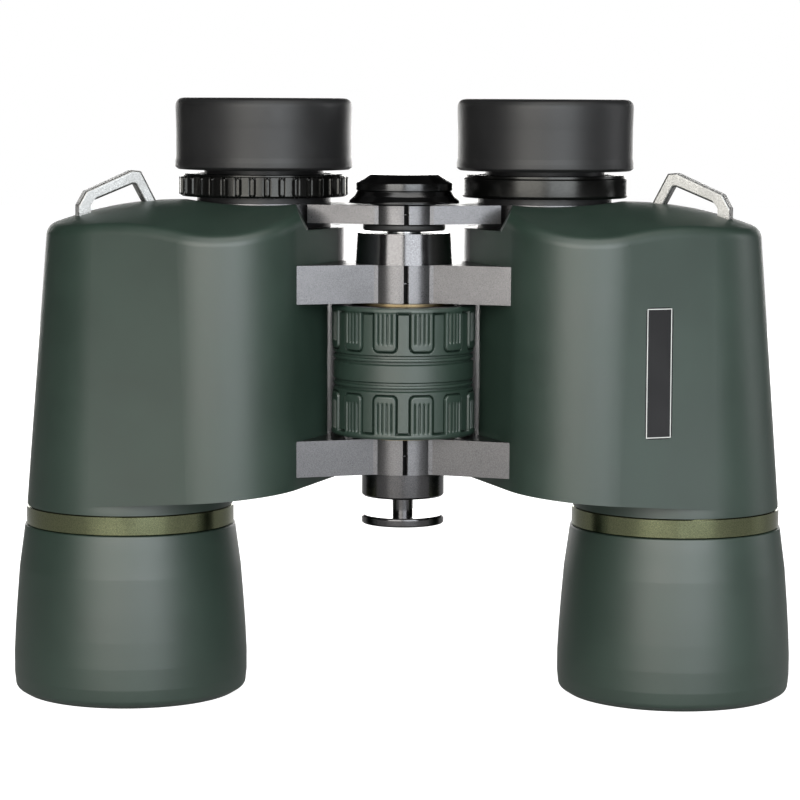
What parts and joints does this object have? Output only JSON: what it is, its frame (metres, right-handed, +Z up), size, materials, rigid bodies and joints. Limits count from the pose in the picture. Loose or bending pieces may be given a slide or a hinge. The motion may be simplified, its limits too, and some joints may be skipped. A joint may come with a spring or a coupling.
{
  "type": "binoculars",
  "caption": "Porro-prism binoculars with a centre focus wheel, folding bridge, diopter ring and twist-up eyecups, standing on their objectives.",
  "frame": {"origin": "centre of the base, on the surface that the objective rims stand on", "axes": "+Z up along the optical axes towards the eyepieces, +X towards the user's left half, -Y towards the top side with the focus wheel"},
  "size_m": [0.1854, 0.062, 0.141],
  "materials": {
    "armour_rubber": "satin",
    "black_rubber": "matte",
    "black_casting": "satin",
    "black_tube": "matte",
    "dark_trim": "satin",
    "ribbed_ring": "satin",
    "strap_metal": "satin",
    "steel": "satin",
    "brass": "satin",
    "wheel_metal": "satin",
    "core_metal": "satin",
    "slip_plastic": "matte",
    "plate_plastic": "gloss",
    "coated_glass": "gloss",
    "clear_glass": "gloss"
  },
  "bodies": {
    "right_half": {"right_prism_housing": "black_casting", "right_body_armour": "armour_rubber", "right_ocular_cover_plate": "black_casting", "right_strap_lug": "strap_metal", "right_cover_screws": "steel", "right_upper_prism": "clear_glass", "right_lower_prism": "clear_glass", "right_prism_clips": "steel", "right_prism_shelf": "black_tube", "right_objective_barrel": "black_tube", "right_objective_armour": "armour_rubber", "right_objective_trim_ring": "dark_trim", "right_crown_lens": "coated_glass", "right_flint_lens": "clear_glass", "right_lens_retainer": "black_tube", "upper_hinge_bush": "black_casting", "lower_hinge_pin": "black_casting"},
    "left_half": {"left_prism_housing": "black_casting", "left_body_armour": "armour_rubber", "left_ocular_cover_plate": "black_casting", "left_strap_lug": "strap_metal", "left_cover_screws": "steel", "left_upper_prism": "clear_glass", "left_lower_prism": "clear_glass", "left_prism_clips": "steel", "left_prism_shelf": "black_tube", "left_objective_barrel": "black_tube", "left_objective_armour": "armour_rubber", "left_objective_trim_ring": "dark_trim", "left_crown_lens": "coated_glass", "left_flint_lens": "clear_glass", "left_lens_retainer": "black_tube", "left_name_plate": "plate_plastic"},
    "focus_wheel": {"focus_wheel_drum": "wheel_metal", "focus_wheel_grip": "armour_rubber", "focus_thrust_washers": "brass"},
    "right_bridge_arm": {"right_ocular_arm": "black_casting", "right_eyepiece_barrel": "black_tube", "focus_shaft": "steel", "bridge_cap": "black_casting", "bridge_o_ring": "black_rubber"},
    "left_bridge_arm": {"left_ocular_arm": "black_casting", "left_eyepiece_barrel": "black_tube", "left_eyepiece_ring": "dark_trim", "left_eyepiece_cell": "black_tube", "left_eye_lens": "coated_glass", "left_field_lens": "clear_glass"},
    "diopter_ring": {"right_diopter_ring": "ribbed_ring"},
    "right_eyepiece": {"right_eyepiece_cell": "black_tube", "right_eye_lens": "coated_glass", "right_field_lens": "clear_glass"},
    "right_eyecup_lift": {"right_eyecup_slip_ring": "slip_plastic"},
    "right_eyecup": {"right_eyecup_core": "core_metal", "right_eyecup": "black_rubber"},
    "left_eyecup_lift": {"left_eyecup_slip_ring": "slip_plastic"},
    "left_eyecup": {"left_eyecup_core": "core_metal", "left_eyecup": "black_rubber"},
    "tripod_cap_draw": {"tripod_cap_washer": "slip_plastic"},
    "tripod_cap": {"tripod_cap": "black_casting"}
  },
  "joints": [
    {"name": "interpupillary_hinge", "type": "hinge", "parent": "right_half", "child": "left_half", "pos_m": [0, -0.00405, 0.08], "axis": [0, 0, 1], "range_deg": [-5, 34]},
    {"name": "right_arm_slide", "type": "slide", "parent": "right_half", "child": "right_bridge_arm", "axis": [0, 0, 1], "range_m": [-0.0002, 0.0056]},
    {"name": "left_arm_slide", "type": "slide", "parent": "left_half", "child": "left_bridge_arm", "axis": [0, 0, 1], "range_m": [-0.00021, 0.00561]},
    {"name": "focus_wheel_turn", "type": "hinge", "parent": "right_half", "child": "focus_wheel", "pos_m": [0, -0.00405, 0.078], "axis": [0, 0, 1], "range_deg": [-19, 505]},
    {"name": "diopter_cell_slide", "type": "slide", "parent": "right_bridge_arm", "child": "right_eyepiece", "axis": [0, 0, 1], "range_m": [-0.0008, 0.0008]},
    {"name": "diopter_turn", "type": "hinge", "parent": "right_bridge_arm", "child": "diopter_ring", "pos_m": [-0.0336, 0.00995, 0.12], "axis": [0, 0, 1], "range_deg": [-46, 46]},
    {"name": "right_eyecup_rise", "type": "slide", "parent": "right_eyepiece", "child": "right_eyecup_lift", "axis": [0, 0, 1], "range_m": [0, 0.0085]},
    {"name": "right_eyecup_turn", "type": "hinge", "parent": "right_eyecup_lift", "child": "right_eyecup", "pos_m": [-0.0336, 0.00995, 0.13], "axis": [0, 0, 1], "range_deg": [0, 121]},
    {"name": "left_eyecup_rise", "type": "slide", "parent": "left_bridge_arm", "child": "left_eyecup_lift", "axis": [0, 0, 1], "range_m": [0, 0.0085]},
    {"name": "left_eyecup_turn", "type": "hinge", "parent": "left_eyecup_lift", "child": "left_eyecup", "pos_m": [0.0336, 0.00995, 0.13], "axis": [0, 0, 1], "range_deg": [0, 121]},
    {"name": "tripod_cap_draw", "type": "slide", "parent": "right_half", "child": "tripod_cap_draw", "axis": [0, 0, -1], "range_m": [0, 0.0076]},
    {"name": "tripod_cap_turn", "type": "hinge", "parent": "tripod_cap_draw", "child": "tripod_cap", "pos_m": [0, -0.00405, 0.042], "axis": [0, 0, -1], "range_deg": [0, 2159.3]}
  ],
  "couplings": [
    {"joint": "focus_wheel_turn", "follows": "right_arm_slide", "rad_per_m": 1570.8},
    {"joint": "left_arm_slide", "follows": "right_arm_slide", "ratio": 1},
    {"joint": "diopter_turn", "follows": "diopter_cell_slide", "rad_per_m": 981.74},
    {"joint": "right_eyecup_turn", "follows": "right_eyecup_rise", "rad_per_m": 246.4},
    {"joint": "left_eyecup_turn", "follows": "left_eyecup_rise", "rad_per_m": 246.4},
    {"joint": "tripod_cap_turn", "follows": "tripod_cap_draw", "rad_per_m": 4947.3}
  ]
}
